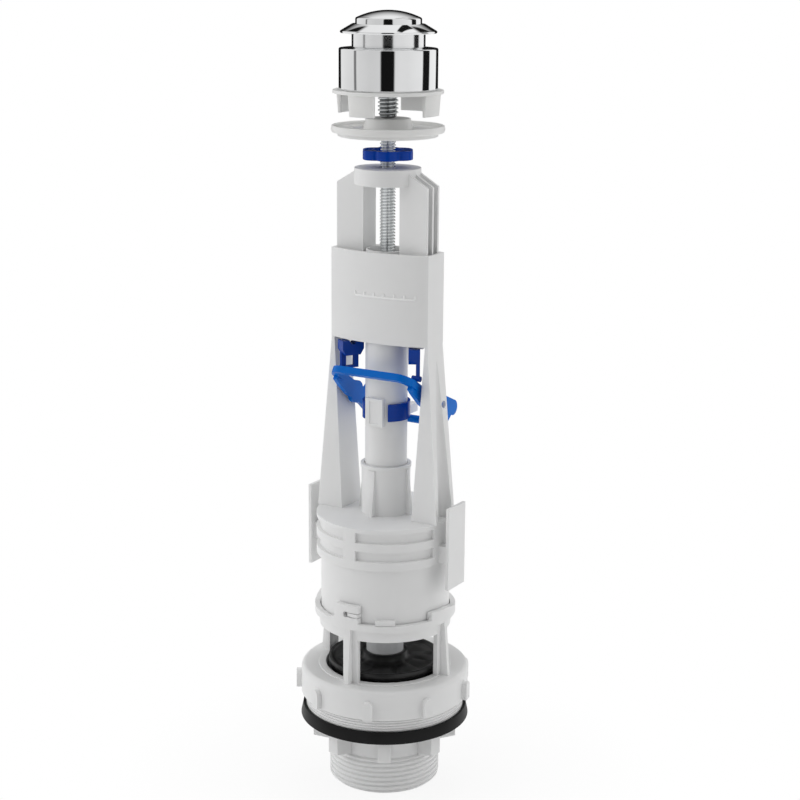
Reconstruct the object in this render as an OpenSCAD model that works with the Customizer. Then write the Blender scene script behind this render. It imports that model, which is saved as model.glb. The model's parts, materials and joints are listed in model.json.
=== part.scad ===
// Lever-lift flush valve for a toilet cistern, with its lid button.
// +Z is up, the origin is the centre of the outlet tail's lower end, the legs stand on the X axis.

/* [Outlet] */
// Radius of the outlet tail over its thread
tail_r = 29.8; // [27:0.1:32]
// Wall of the outlet tail
tail_wall = 3.4; // [2.5:0.1:4.5]
// Length of the threaded tail
tail_h = 21; // [14:0.5:40]
// Depth of the plain neck behind the thread
neck_cut = 0.8; // [0.3:0.1:1.5]
// Length of the plain neck between the thread and the flange
neck_h = 14.5; // [10:0.5:24]
// Radius of the seat body over its thread
cup_r = 42.6; // [41.5:0.1:45]
// Wall of the seat body
cup_wall = 3; // [2:0.1:4]
// Height of the seat body above the flange underside
cup_h = 26.2; // [22:0.1:36]
// Thickness of the seat body's floor
floor_t = 4; // [2.5:0.1:6]
// Wall of the upright seat pipe
seat_wall = 2.8; // [2:0.1:3.2]
// How far the seat lip stands above the rim of the seat body
lip_rise = 0.4; // [0:0.1:1]
// How many centring fins stand under the flange
fin_count = 8; // [4:1:12]
// Width of a centring fin
fin_w = 7; // [3:0.5:9]
// How far a fin reaches out from the tail
fin_out = 9; // [5:0.5:9.5]
// Height of the step under a fin's outer end
fin_step = 2.5; // [0.5:0.5:5]

/* [Gasket] */
// Thickness of the gasket's flat lip under the flange
gasket_lip_t = 1; // [0.8:0.1:4]
// Height of the gasket
gasket_h = 7.7; // [5:0.1:10]
// Width of the gasket's skirt at its foot
gasket_foot_w = 2.9; // [2:0.1:5]
// Width of the gasket's skirt at its top
gasket_top_w = 1.6; // [1:0.1:2]

/* [Cage] */
// Wall of the threaded skirt
skirt_wall = 2.2; // [1.5:0.1:3]
// How far the skirt reaches down over the seat body
skirt_h = 12.4; // [8:0.1:17]
// Thickness of the cage's base plate
base_t = 3; // [2:0.1:4]
// How far the shoulder ring stands above the base plate
shoulder_rise = 0.3; // [0.1:0.1:3]
// Width of the shoulder ring
shoulder_w = 5.8; // [4:0.1:7]
// Rounding of the shoulder's outer edge
shoulder_round = 2.6; // [1:0.1:3]
// How many grip lugs stand on the skirt
lug_count = 9; // [6:1:12]
// Width of a grip lug
lug_w = 5; // [3:0.5:7]
// Height of a grip lug
lug_h = 10; // [6:0.5:12]
// How far a grip lug stands out
lug_out = 2.7; // [1.5:0.1:4]
// Height of the water windows between base plate and ring
window_h = 24.1; // [18:0.1:36]
// Width of a cage leg
cage_leg_w = 9; // [6:0.5:14]
// Thickness of a cage leg
cage_leg_t = 2.4; // [1.6:0.1:3.2]
// Height of the cage ring's rim round the drum's foot
ring_h = 2.1; // [1.5:0.1:4]
// Wall of the cage ring
ring_wall = 2.8; // [2:0.1:4]
// Height of a bayonet ear above the ring
ear_h = 9.8; // [7:0.1:14]
// Width of a bayonet ear at its foot
ear_w = 19.5; // [18:0.5:24]
// Width of a bayonet ear at its top
ear_top_w = 13.4; // [10:0.1:14]
// Turn of a bayonet ear from its cage leg
ear_turn = 6.3; // [2:0.1:12]
// Height of a bayonet ear's slot
ear_slot_h = 2.7; // [1.8:0.1:3.2]
// Height of the stop between two bayonet ears
stop_h = 4.4; // [3:0.1:6]
// Height of the rail that runs from a stop to the next ear
rail_h = 0.6; // [0.4:0.1:3]
// Thickness of the cage ring's plate under its rim
ring_plate = 1.4; // [1:0.1:2]
// Height of the collar between water windows and drum
ledge_t = 7.7; // [6:0.1:12]

/* [Drum] */
// Radius of the drum
drum_r = 34.4; // [34:0.1:36]
// Wall of the drum
drum_wall = 2; // [1.5:0.1:2.4]
// Height of the drum
drum_h = 54; // [50:0.5:80]
// Thickness of the drum's deck
deck_t = 2.2; // [1.6:0.1:4]
// Height of the slotted band under the deck
band_h = 22; // [20:0.1:24]
// How far the band stands out from the drum
band_out = 2.4; // [1.6:0.1:3]
// Height of a band slot
slot_h = 5.4; // [2:0.1:6]
// Depth of a band slot
slot_d = 2; // [1:0.1:2.2]
// Height of the tube collar on the deck
collar_h = 26.7; // [15:0.1:34]
// Wall of the tube collar
collar_wall = 1.5; // [1.2:0.1:2.5]
// How far a collar rib spreads at the deck
rib_foot = 3.4; // [2:0.1:4]
// Height of a grip wing
wing_h = 44.4; // [30:0.1:50]
// Depth of a grip wing
wing_d = 17.6; // [12:0.1:24]
// Thickness of a grip wing
wing_t = 1.8; // [1.4:0.1:3]
// Gap between the band and a grip wing
wing_gap = 4.8; // [3:0.1:7]

/* [Upper frame] */
// Height of the legs from the deck to the housing
leg_h = 93; // [86:0.5:110]
// Thickness of a leg's foot
foot_t = 15; // [12:0.1:16]
// Depth of a leg's foot
foot_d = 19.6; // [18:0.1:22]
// Inset of a foot from the edge of the deck
foot_inset = 0.3; // [0:0.1:1]
// Radius of the flared groove in a leg at the deck
groove_r = 7.6; // [5:0.1:8]
// How far the groove runs up into the housing
groove_rise = 14; // [6:0.5:30]
// Height of the housing
house_h = 47; // [40:0.5:60]
// Width of the housing
house_w = 58; // [57:0.1:62]
// Depth of the housing at its ends
house_end_d = 16; // [15:0.1:18]
// How far the housing's front and back bulge
house_bulge = 5.5; // [5.4:0.1:7]
// Wall of the housing
house_wall = 1.8; // [1.4:0.1:2.2]
// Distance of the lever pivot below the housing
link_drop = 32; // [30:0.5:35]
// Distance of the lever pivot behind the tube's axis
pivot_y = 5.2; // [4.8:0.1:5.8]
// Radius of the lever's pivot studs
stud_r = 1.94; // [1.5:0.01:2.1]

/* [Overflow tube] */
// Radius of the overflow tube
tube_r = 11.1; // [10.8:0.1:11.3]
// Wall of both tubes
tube_wall = 1; // [0.8:0.1:1.4]
// How far the tube stands out of the housing
tube_rise = 0.5; // [0:0.5:6]
// Height of the tube's front key
key_h = 15; // [12:0.5:20]
// Width of the tube's front key
key_w = 10.4; // [6:0.1:12]
// How far the front key stands out
key_out = 1.7; // [1:0.1:2.5]
// Width of the lug that the lever lifts
lift_lug_w = 5; // [4:0.1:8]
// Thickness of the lug that the lever lifts
lift_lug_t = 5; // [4:0.1:6]
// Height of the tube clip
clip_h = 9.1; // [7:0.1:11]
// Wall of the tube clip
clip_wall = 1.4; // [1:0.1:2]
// Gap between the tube clip's ends and the front key
clip_gap = 1.9; // [0.4:0.1:3]

/* [Float and seal] */
// Radius of the float
float_r = 30; // [24:0.1:31]
// Height of the float
float_h = 28; // [18:0.5:30]
// Wall of the float
float_wall = 1.6; // [1.2:0.1:2.5]
// Radius of the valve disc
disc_r = 30.4; // [30:0.1:31]
// Thickness of the valve disc
disc_t = 2.3; // [1.6:0.1:3.5]
// Height of the valve disc's rim
disc_rim = 1.3; // [0.5:0.1:2]
// Height of the valve disc's hub
disc_hub_h = 6.6; // [4:0.1:10]
// Thickness of the flush seal
seal_t = 3; // [2:0.1:4]

/* [Lever] */
// Slope of the lever's arms at rest, front end up
lever_slope = 31.5; // [30:0.1:33]
// Half the depth of a lever arm
arm_half = 4.5; // [4.2:0.1:4.7]
// Thickness of a lever arm
arm_t = 2.4; // [1.8:0.1:2.6]
// Gap between a lever arm and its leg at the pivot
arm_gap = 1.6; // [1.5:0.1:2.2]
// Length of the lever from its pivot to the front bar
bail_reach = 28.8; // [26:0.1:32]
// Height of the front bar
bail_h = 3.7; // [3.5:0.1:6]
// Thickness of the front bar
bail_t = 3.4; // [2.5:0.1:4.5]
// Radius of the front bar's corners
bail_corner = 6; // [4:0.1:8]
// Distance of the rear bar behind the pivot
rear_reach = 15.5; // [15:0.1:17]
// Distance of the rear bar below the pivot
rear_drop = 14.8; // [14:0.1:15.5]
// Radius of the rear bar
rear_r = 2.1; // [1.8:0.1:2.4]

/* [Carriage and links] */
// How far the hub's top stands above the housing
crown_h = 42.2; // [36:0.1:60]
// Thickness of the hub
hub_t = 8.4; // [5:0.1:12]
// Radius of the hub
hub_r = 17.1; // [15:0.1:19]
// Thickness of the pillars' walls and fins
fin_t = 1.6; // [1.2:0.1:2]
// Spacing of the pillars' fins
fin_pitch = 5.4; // [4:0.1:5.4]
// Clearance round the tube inside the pillars
pillar_gap = 1.2; // [0.8:0.1:1.6]
// How far the pillars stand out of the housing's underside
pillar_drop = 1.5; // [1:0.1:3]
// Width of a push link
link_w = 10; // [8:0.1:10]
// Thickness of a push link
link_t = 2; // [1.6:0.1:2.4]
// Turn of a push link's plate away from the YZ plane
link_turn = 31; // [20:1:35]
// Width of a push link's head
head_w = 12.4; // [11:0.1:12.5]
// Height of a push link's head
head_h = 8; // [5:0.1:9]
// Thickness of a push link's head
head_t = 6; // [3:0.1:6.5]
// Radius of the foot that presses on the lever
press_r = 1.5; // [1.2:0.1:1.7]
// Distance of that foot in front of the tube's axis
press_y = 7; // [6.8:0.1:7.4]

/* [Push rod] */
// Radius of the push rod over its thread
rod_r = 4; // [3:0.1:5]
// How far the rod hangs below the housing's top
rod_drop = 16; // [8:0.5:30]
// Radius of the lock wheel over its lobes
wheel_r = 13.7; // [11:0.1:16]
// Height of the lock wheel
wheel_h = 4.8; // [3:0.1:8]
// Gap between the hub and the lock wheel
wheel_gap = 4.2; // [1:0.1:6]
// How many lobes the lock wheel has
lobe_count = 6; // [5:1:9]
// Gap between the lock wheel and the press disc
wheel_play = 6.8; // [4:0.1:20]
// Radius of the press disc
plate_r = 29; // [26:0.1:32]
// Thickness of the press disc's plate
plate_t = 1.6; // [1.2:0.1:3]
// Height of the press disc's rim
plate_rim = 1.9; // [0.5:0.1:3]
// Height of the press disc's skirt
plate_skirt = 2; // [1:0.1:5]
// Height of the press disc's boss
boss_h = 5.4; // [4:0.1:10]
// Radius of the press disc's boss
boss_r = 11.4; // [7:0.1:12]

/* [Button] */
// Radius of the button cap
cap_r = 16.7; // [14:0.1:17.5]
// Height of the cap's dome
dome_h = 3.9; // [2:0.1:6]
// How far the dome's edge stands above the bezel
cap_rise = 2.8; // [1:0.1:5]
// Length of the cap's skirt
cap_skirt = 16; // [12:0.1:18]
// Wall of the cap
cap_wall = 1.5; // [1:0.1:2.2]
// Radius of the bezel
bezel_r = 24.4; // [22:0.1:28]
// Height of the bezel's cone
bezel_h = 4.6; // [3:0.1:7]
// Wall of the bezel's sleeve
sleeve_wall = 1.45; // [1.2:0.01:2]
// Length of the bezel's sleeve
sleeve_h = 25.3; // [24:0.1:30]
// Gap for the cistern lid
lid_gap = 7.3; // [5:0.1:10]
// Radius of the collar nut
collar_nut_r = 25; // [22:0.1:28]
// Height of the collar nut
collar_nut_h = 20.6; // [19:0.1:26]
// Radius of the claw ring
claw_ring_r = 28.1; // [27:0.1:31]
// Thickness of the claw ring
claw_ring_t = 1.7; // [1.2:0.1:3]
// Length of the claws
claw_h = 10.6; // [6:0.1:11]
// Angle that a claw takes up
claw_angle = 32; // [20:1:50]
// Radius of the button screw over its thread
screw_r = 5.15; // [4:0.05:6]
// Length of the button screw below the claws' tips
screw_show = 1.9; // [1:0.1:10]
// Radius of the spring at the middle of its wire
spring_r = 11.5; // [10.5:0.1:12.5]
// Radius of the spring's wire
wire_r = 0.7; // [0.4:0.05:0.9]
// Turns of the spring
spring_turns = 6; // [4:1:8]

/* [Clearances] */
// Between fixed pieces that fit into each other
fit = 0.1; // [0.05:0.01:0.2]
// Between pieces that slide or press on each other
run = 0.35; // [0.3:0.01:0.5]
// Between a shaft and its hole
shaft = 0.06; // [0.02:0.01:0.1]
// Between the two threads of the cage and the seat body
thread_gap = 0.4; // [0.3:0.05:0.8]

/* [Hidden] */
$fn = 96;
eps = 0.5;
quarters = [0 : 90 : 270];

// Levels, from the tail's lower end up to the button
z_flange = tail_h + neck_h;
z_rim = z_flange + cup_h;
z_base = z_rim + base_t;
z_ring = z_base + window_h;
z_drum = z_ring + ledge_t;
z_ring_top = z_drum + ring_h;
z_deck = z_drum + drum_h;
z_house = z_deck + leg_h;
z_pivot = z_house - link_drop;
z_top = z_house + house_h;
z_pillar = z_house - pillar_drop;
z_hub_top = z_top + crown_h;
z_hub = z_hub_top - hub_t;
z_wheel = z_hub_top + wheel_gap;
z_plate = z_wheel + wheel_h + wheel_play;
z_plate_top = z_plate + plate_skirt + plate_t;
z_boss = z_plate_top + boss_h;
z_claw = z_boss + screw_show;
z_claw_ring = z_claw + claw_h;
z_collar = z_claw_ring + claw_ring_t;
z_lid = z_collar + collar_nut_h;
z_bezel = z_lid + lid_gap;
z_cap = z_bezel + bezel_h + cap_rise;
z_sleeve = z_bezel - sleeve_h;

// Radii that follow from neighbours
bore_r = tail_r - tail_wall;
pipe_r = bore_r + seat_wall;
skirt_in = cup_r + thread_gap;
skirt_r = skirt_in + skirt_wall;
cage_in = disc_r + 1.2;
ring_in = drum_r + 6 * fit;
ring_r = ring_in + ring_wall;
ledge_in = drum_r - drum_wall - fit;
ear_slot_end = ear_w / 2 - ear_top_w * 0.53;
ear_slot_low = ear_h * 0.33;
cage_leg_r = ring_in - cage_leg_t + fit;
band_r = drum_r + band_out;
collar_in = tube_r + run;
collar_r = collar_in + collar_wall;
inner_r = tube_r - tube_wall - fit;
sleeve_in = cap_r + run;
sleeve_r = sleeve_in + sleeve_wall;
thread_cut = 0.45;

// Housing outline and the legs under it
house_half = house_w / 2;
house_end = house_end_d / 2;
house_mid = house_end + house_bulge;
bulge_r = (house_half * house_half + house_bulge * house_bulge) / (2 * house_bulge);
house_in = house_half - house_wall;
foot_out = band_r - foot_inset;
foot_in = foot_out - foot_t;
leg_in_pivot = house_in - (house_in - foot_in) * link_drop / leg_h;

// Lever: places on its arms, seen along X from the pivot
arm_out = leg_in_pivot - arm_gap;
arm_in = arm_out - arm_t;
press_level = (arm_half + press_r + run + sin(lever_slope) * (pivot_y + press_y)) / cos(lever_slope);
z_press = z_pivot + press_level;
z_lug = z_pivot - rear_drop + rear_r + run;
lug_end = pivot_y + sqrt(rear_reach * rear_reach + rear_drop * rear_drop) + rear_r;
rear_u = rear_reach * cos(lever_slope) + rear_drop * sin(lever_slope);
rear_v = rear_reach * sin(lever_slope) - rear_drop * cos(lever_slope);

// Push links follow the arms of the lever
link_x = (arm_in + arm_out) / 2 - link_w / 2 * sin(link_turn) + link_t / 2;
link_y = link_w / 2 * cos(link_turn) - press_y - press_r / 2;

// Valve on its seat
z_seal = z_rim + lip_rise + run;
z_disc = z_seal + seal_t;
z_float = z_drum + 9;

// Shared shapes

module tube(outer, inner, low, high) {
    translate([0, 0, low])
        difference() {
            cylinder(r = outer, h = high - low);
            translate([0, 0, -eps]) cylinder(r = inner, h = high - low + 2 * eps);
        }
}

module bore(radius, low, high) {
    translate([0, 0, low - eps]) cylinder(r = radius, h = high - low + 2 * eps);
}

// A plate in the XZ plane, drawn as an outline of [x, z] points and centred on y = 0
module upright(thickness) {
    rotate([90, 0, 0]) linear_extrude(thickness, center = true) children();
}

// Points of a quarter round from pointing up to pointing outwards
function quarter_round(cx, cz, r) = [for (a = [90 : -22.5 : 0]) [cx + r * cos(a), cz + r * sin(a)]];

// Outlet and seal

module outlet_seat() {
    neck_r = tail_r - neck_cut;
    fin_r = tail_r + fin_out;
    fin_root = 1.5;
    color("white") {
        rotate_extrude() polygon([
            [bore_r, 0], [tail_r, 0], [tail_r, tail_h],
            [neck_r, tail_h], [neck_r, z_flange], [cup_r, z_flange], [cup_r, z_rim],
            [cup_r - cup_wall, z_rim], [cup_r - cup_wall, z_flange + floor_t],
            [pipe_r, z_flange + floor_t], [pipe_r, z_rim + lip_rise - seat_wall / 2],
            [pipe_r - seat_wall / 2, z_rim + lip_rise], [bore_r, z_rim + lip_rise]
        ]);
        for (i = [0 : fin_count - 1])
            rotate([0, 0, 31 + i * 360 / fin_count])
                upright(fin_w) polygon([
                    [neck_r - fin_root, z_flange + eps], [fin_r, z_flange + eps],
                    [fin_r, tail_h + fin_step], [(fin_r + tail_r) / 2, tail_h + fin_step],
                    [neck_r - fin_root, tail_h - eps]
                ]);
    }
}

module cistern_gasket() {
    low = z_flange - gasket_lip_t;
    inner = tail_r + fin_out + 6 * fit;
    foot = cup_r + gasket_foot_w;
    color("#1c1c1c") rotate_extrude() polygon([
        [inner, low], [foot - fit * 5, low], [foot, low + fit * 8],
        [cup_r + gasket_top_w, low + gasket_h], [cup_r + fit, low + gasket_h],
        [cup_r + fit, z_flange], [inner, z_flange]
    ]);
}

// Cage with its lugged skirt and bayonet ring

module ear_outline() {
    half = ear_w / 2;
    crest = half - ear_top_w;
    difference() {
        polygon([
            [-half, -eps], [half, -eps], [half, ear_h], [crest, ear_h],
            [(crest * 2 - half) / 3, rail_h + 1], [-half, rail_h * 0.65]
        ]);
        translate([ear_slot_end, ear_slot_low]) square([half, ear_slot_h]);
        translate([ear_slot_end, ear_slot_low + ear_slot_h / 2]) circle(r = ear_slot_h * 0.6);
    }
}

// An outline set upright on the cage ring, turned from the X axis
module on_ring(turn, height) {
    rotate([0, 0, turn]) intersection() {
        tube(ring_r, ring_in, z_ring_top - eps, z_ring_top + height + eps);
        translate([ring_in * 0.6, 0, z_ring_top]) rotate([90, 0, 90]) linear_extrude(ring_r) children();
    }
}

// From the stop, the rail slopes down to the foot of the next ear, in two straight runs
module stop_rail() {
    stop_turn = ear_turn - 5;
    rail_turn = ear_turn + 37.7;
    half = ring_r * 0.39;
    on_ring(stop_turn, stop_h)
        polygon([[-half * 0.86, -eps], [half, -eps], [half, rail_h], [0, stop_h * 0.9], [-half * 0.86, stop_h]]);
    on_ring(rail_turn, stop_h)
        polygon([[-half, -eps], [half * 1.06, -eps], [half * 1.06, rail_h * 0.65], [-half, rail_h]]);
}

module grip_lug() {
    half = lug_w / 2;
    rotate([90, 0, 90]) linear_extrude(skirt_wall / 2 + lug_out) {
        translate([-half, 0]) square([lug_w, lug_h - half]);
        translate([0, lug_h - half]) circle(r = half);
    }
}

module cage() {
    z_skirt = z_rim - skirt_h;
    shoulder_in = skirt_r - shoulder_w;
    z_shoulder = z_base + shoulder_rise;
    gusset_foot = ring_r + shoulder_round * 0.75;
    z_plate_low = z_drum - ring_plate;
    color("white") {
        rotate_extrude() polygon(concat(
            [[cage_in, z_rim], [cage_in, z_base - base_t / 6], [shoulder_in, z_shoulder]],
            quarter_round(skirt_r - shoulder_round, z_shoulder - shoulder_round, shoulder_round),
            [[skirt_r, z_skirt], [skirt_in, z_skirt], [skirt_in, z_rim]]
        ));
        for (i = [0 : lug_count - 1])
            rotate([0, 0, 10 + i * 360 / lug_count])
                translate([skirt_r - skirt_wall / 2, 0, z_skirt + lug_out / 4]) grip_lug();
        for (a = quarters) rotate([0, 0, a]) {
            translate([cage_leg_r, -cage_leg_w / 2, z_base - base_t / 2])
                cube([cage_leg_t, cage_leg_w, window_h + base_t]);
            upright(cage_leg_t) polygon([
                [ring_in, z_base - base_t / 2], [gusset_foot, z_base - base_t / 2], [gusset_foot, z_shoulder],
                [ring_r - eps, z_plate_low + eps], [ring_in, z_plate_low + eps]
            ]);
        }
        for (a = [0, 180]) rotate([0, 0, a]) {
            on_ring(90 - ear_turn, ear_h) ear_outline();
            stop_rail();
        }
        tube(ring_r, ring_in, z_plate_low, z_ring_top);
        tube(ring_r - eps, ledge_in, z_plate_low, z_drum);
        tube(ring_in + 3 * fit, ledge_in, z_ring, z_plate_low + eps);
    }
}

// Drum with deck, collar, slotted band and grip wings

// The slots stop short of the wings on the X axis
module band_slots() {
    slot_angle = 68.5;
    from_wing = 16;
    from_seam = 90 - slot_angle - from_wing;
    for (a = quarters, level = [2.2, 12.1])
        rotate([0, 0, a + (a % 180 == 0 ? from_wing : from_seam)])
            translate([0, 0, z_deck - level - slot_h])
                rotate_extrude(angle = slot_angle)
                    translate([band_r - slot_d, 0]) square([slot_d + 1, slot_h]);
}

module grip_wing() {
    wing_x = band_r + wing_gap;
    wing_low = z_deck - band_h * 0.575 - wing_h / 2;
    bracket_h = 9;
    translate([wing_x, -wing_d / 2, wing_low]) cube([wing_t, wing_d, wing_h]);
    translate([band_r - 3, -wing_d * 0.37, z_deck - band_h + bracket_h / 9])
        cube([wing_gap + 3 + eps, wing_d * 0.74, bracket_h]);
}

module drum() {
    lug_out_r = ring_r - ring_wall / 4;
    key_play = 0.4;
    color("white") difference() {
        union() {
            bore(drum_r, z_drum + eps, z_deck - deck_t);
            difference() {
                translate([0, 0, z_deck - band_h]) cylinder(r = band_r, h = band_h);
                band_slots();
            }
            translate([0, 0, z_deck - eps]) cylinder(r = collar_r, h = collar_h + eps);
            translate([0, 0, z_deck + collar_h - 2]) cylinder(r = collar_r + 0.5, h = 2);
            for (a = quarters) rotate([0, 0, a]) {
                upright(2.2) polygon([
                    [collar_in + collar_wall / 2, z_deck - eps], [collar_r + rib_foot, z_deck - eps],
                    [collar_r + 0.4, z_deck + collar_h - 2], [collar_in + collar_wall / 2, z_deck + collar_h - 2]
                ]);
            }
            for (a = [90, 270]) rotate([0, 0, a]) {
                rotate([0, 0, 31]) translate([drum_r - drum_wall / 2, -5.2, z_ring_top + fit])
                    cube([lug_out_r - drum_r + drum_wall / 2, 10.4, 2.4]);
                rotate([0, 0, -ear_turn])
                    translate([drum_r - drum_wall / 2, ear_slot_end + fit * 8, z_ring_top + ear_slot_low + key_play])
                        cube([lug_out_r - drum_r + drum_wall / 2, ear_w / 2 - ear_slot_end - fit * 8,
                              ear_slot_h - 2 * key_play]);
            }
            grip_wing();
            mirror([1, 0, 0]) grip_wing();
        }
        translate([0, 0, z_drum - eps])
            cylinder(r = drum_r - drum_wall, h = drum_h - deck_t + eps);
        bore(collar_in, z_deck - deck_t, z_deck + collar_h);
    }
}

// Upper frame: the housing and its two channelled legs

module house_outline(inset) {
    shift = bulge_r - house_mid;
    intersection() {
        translate([0, shift]) circle(r = bulge_r - inset, $fn = 180);
        translate([0, -shift]) circle(r = bulge_r - inset, $fn = 180);
        square([house_w - 2 * inset, 2 * house_mid], center = true);
    }
}

// A leg's root is set just inside the housing's end wall
module leg() {
    root_inset = 0.25;
    root_h = 1.5;
    difference() {
        hull() {
            translate([house_in + root_inset, root_inset - house_end, z_house + root_h])
                cube([house_wall - 2 * root_inset, house_end_d - 2 * root_inset, eps]);
            translate([foot_in, -foot_d / 2, z_deck]) cube([foot_t, foot_d, eps]);
        }
        translate([house_in - 3, pivot_y, z_pivot])
            rotate([0, 90, 0]) cylinder(r = stud_r + shaft, h = foot_t);
    }
}

// The groove is a slim cone that opens towards the deck
module leg_groove() {
    apex = [house_half + 0.6, 0, z_house + groove_rise];
    fall = apex[2] - z_deck + 2;
    run_out = foot_out - apex[0];
    translate(apex)
        rotate([0, 180 - atan2(run_out, fall), 0])
            cylinder(h = sqrt(run_out * run_out + fall * fall), r1 = 0.1, r2 = groove_r);
}

module upper_frame() {
    color("white") difference() {
        union() {
            translate([0, 0, z_house]) linear_extrude(house_h) difference() {
                house_outline(0);
                house_outline(house_wall);
            }
            leg();
            mirror([1, 0, 0]) leg();
        }
        leg_groove();
        mirror([1, 0, 0]) leg_groove();
    }
}

// Overflow tube, its telescoping lower tube, and what they carry

module overflow_tube() {
    z_key = z_lug - 0.1;
    color("white") {
        tube(tube_r, tube_r - tube_wall, z_drum + 5, z_top + tube_rise);
        difference() {
            translate([-key_w / 2, -tube_r - key_out, z_key]) cube([key_w, key_out + 2, key_h]);
            bore(tube_r - tube_wall / 2, z_key, z_key + key_h);
            translate([-key_w / 4, -tube_r - key_out - 1, z_key + 1.5])
                cube([key_w / 2, 1 + key_out / 4, key_h - 3]);
        }
        difference() {
            translate([-lift_lug_w / 2, 0, z_lug]) cube([lift_lug_w, lug_end, lift_lug_t]);
            bore(tube_r - tube_wall / 2, z_lug, z_lug + lift_lug_t);
        }
    }
}

module inner_tube() {
    color("gainsboro") tube(inner_r, inner_r - tube_wall, z_flange + floor_t + 14, z_lug - 8);
}

module tube_clip() {
    z_clip = z_lug + 2.9;
    reach = tube_r + 2 * clip_wall;
    notch_w = lift_lug_w + 8 * fit;
    color("navy") difference() {
        tube(tube_r + fit + clip_wall, tube_r + fit, z_clip, z_clip + clip_h);
        translate([-key_w / 2 - clip_gap, -reach, z_clip - eps])
            cube([key_w + 2 * clip_gap, reach - 4, clip_h + 2 * eps]);
        translate([-notch_w / 2, 4, z_clip - eps])
            cube([notch_w, reach, z_lug + lift_lug_t - z_clip + 4 * fit + eps]);
    }
}

module float() {
    sleeve = tube_r + fit + float_wall;
    color("whitesmoke") {
        tube(float_r, tube_r + fit, z_float + float_h - float_wall, z_float + float_h);
        tube(float_r, float_r - float_wall, z_float, z_float + float_h);
        tube(sleeve, tube_r + fit, z_float, z_float + float_h);
    }
}

module valve_disc() {
    hub = inner_r + fit + 2.3;
    hole = inner_r + fit;
    top = z_disc + disc_t;
    color("#1a1a1a") rotate_extrude() polygon([
        [hole, z_disc], [disc_r, z_disc], [disc_r, top + disc_rim], [disc_r - 1.8, top + disc_rim],
        [disc_r - 2.6, top], [hub + 4, top], [hub, top + 1.5], [hub, z_disc + disc_hub_h],
        [hole, z_disc + disc_hub_h]
    ]);
}

module flush_seal() {
    color("#2a2a2a") tube(disc_r - 0.8, inner_r + fit, z_seal, z_disc);
}

// Lever, drawn in its own slope: u runs back along the arm, v stands up from it

module arm_outline() {
    front = -bail_reach;
    tip_u = rear_u + 4.4;
    tip_v = arm_half + 1.7;
    tip_r = 4.2;
    polygon([
        [front, 0.3], [front, 0.3 + bail_h], [front + 6, arm_half], [rear_u * 0.3, arm_half],
        [rear_u * 0.34, arm_half - 0.6], [rear_u * 0.46, arm_half + 3.7], [tip_u, tip_v + tip_r],
        [tip_u, tip_v - tip_r], [rear_u + rear_r, rear_v], [rear_u, rear_v - rear_r],
        [rear_u * 0.4, -arm_half], [front * 0.28, -arm_half], [front * 0.66, -arm_half * 0.55]
    ]);
    translate([tip_u, tip_v]) circle(r = tip_r);
    circle(r = arm_half + 1.5);
}

module arm() {
    translate([arm_in, 0, 0])
        rotate([90, 0, 90]) linear_extrude(arm_t) arm_outline();
    rotate([0, 90, 0]) translate([0, 0, arm_out - arm_t / 2])
        cylinder(r = stud_r, h = arm_gap + arm_t / 2 + foot_t * 0.3);
}

module bail_corner_piece() {
    middle = (arm_in + arm_out) / 2;
    translate([middle - bail_corner, bail_corner - bail_reach, 0.3])
        rotate([0, 0, -90]) rotate_extrude(angle = 90)
            translate([bail_corner - bail_t / 2, 0]) square([bail_t, bail_h]);
    translate([middle - bail_t / 2, bail_corner - bail_reach - 0.2, 0.3])
        cube([bail_t, bail_corner, bail_h - 0.4]);
}

module lift_lever() {
    straight = (arm_in + arm_out) / 2 - bail_corner + 0.2;
    color("royalblue") translate([0, pivot_y, z_pivot]) rotate([-lever_slope, 0, 0]) {
        difference() {
            union() {
                arm();
                mirror([1, 0, 0]) arm();
            }
            translate([-house_half, -bail_reach - bail_t, -bail_h])
                cube([house_w, bail_t + bail_corner, 4 * bail_h]);
        }
        bail_corner_piece();
        mirror([1, 0, 0]) bail_corner_piece();
        translate([-straight, -bail_reach - bail_t / 2, 0.3]) cube([2 * straight, bail_t, bail_h]);
        translate([-arm_in - arm_t / 2, rear_u, rear_v])
            rotate([0, 90, 0]) cylinder(r = rear_r, h = 2 * arm_in + arm_t);
    }
}

// Carriage and its two push links

module pillar() {
    wall_in = tube_r + pillar_gap;
    wall_out = wall_in + fin_t;
    reach = house_in - run;
    half = fin_pitch + fin_t / 2;
    toe_in = 1.8;
    toe_h = 14;
    intersection() {
        tube(wall_out, wall_in, z_pillar, z_hub + eps);
        translate([0, -half, z_pillar]) cube([wall_out, 2 * half, z_hub - z_pillar + eps]);
    }
    for (side = [-1 : 1])
        translate([0, side * fin_pitch, 0]) {
            root = sqrt(wall_in * wall_in - pow(side * fin_pitch, 2)) + fin_t / 2;
            upright(fin_t) polygon([
                [root, z_pillar], [reach - toe_in, z_pillar], [reach, z_pillar + toe_h], [reach, z_hub],
                [hub_r - 4.5, z_hub_top], [root, z_hub_top]
            ]);
        }
}

module carriage() {
    color("white") difference() {
        union() {
            translate([0, 0, z_hub]) cylinder(r = hub_r, h = hub_t);
            pillar();
            mirror([1, 0, 0]) pillar();
        }
        bore(rod_r + fit, z_hub, z_hub_top);
    }
}

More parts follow.
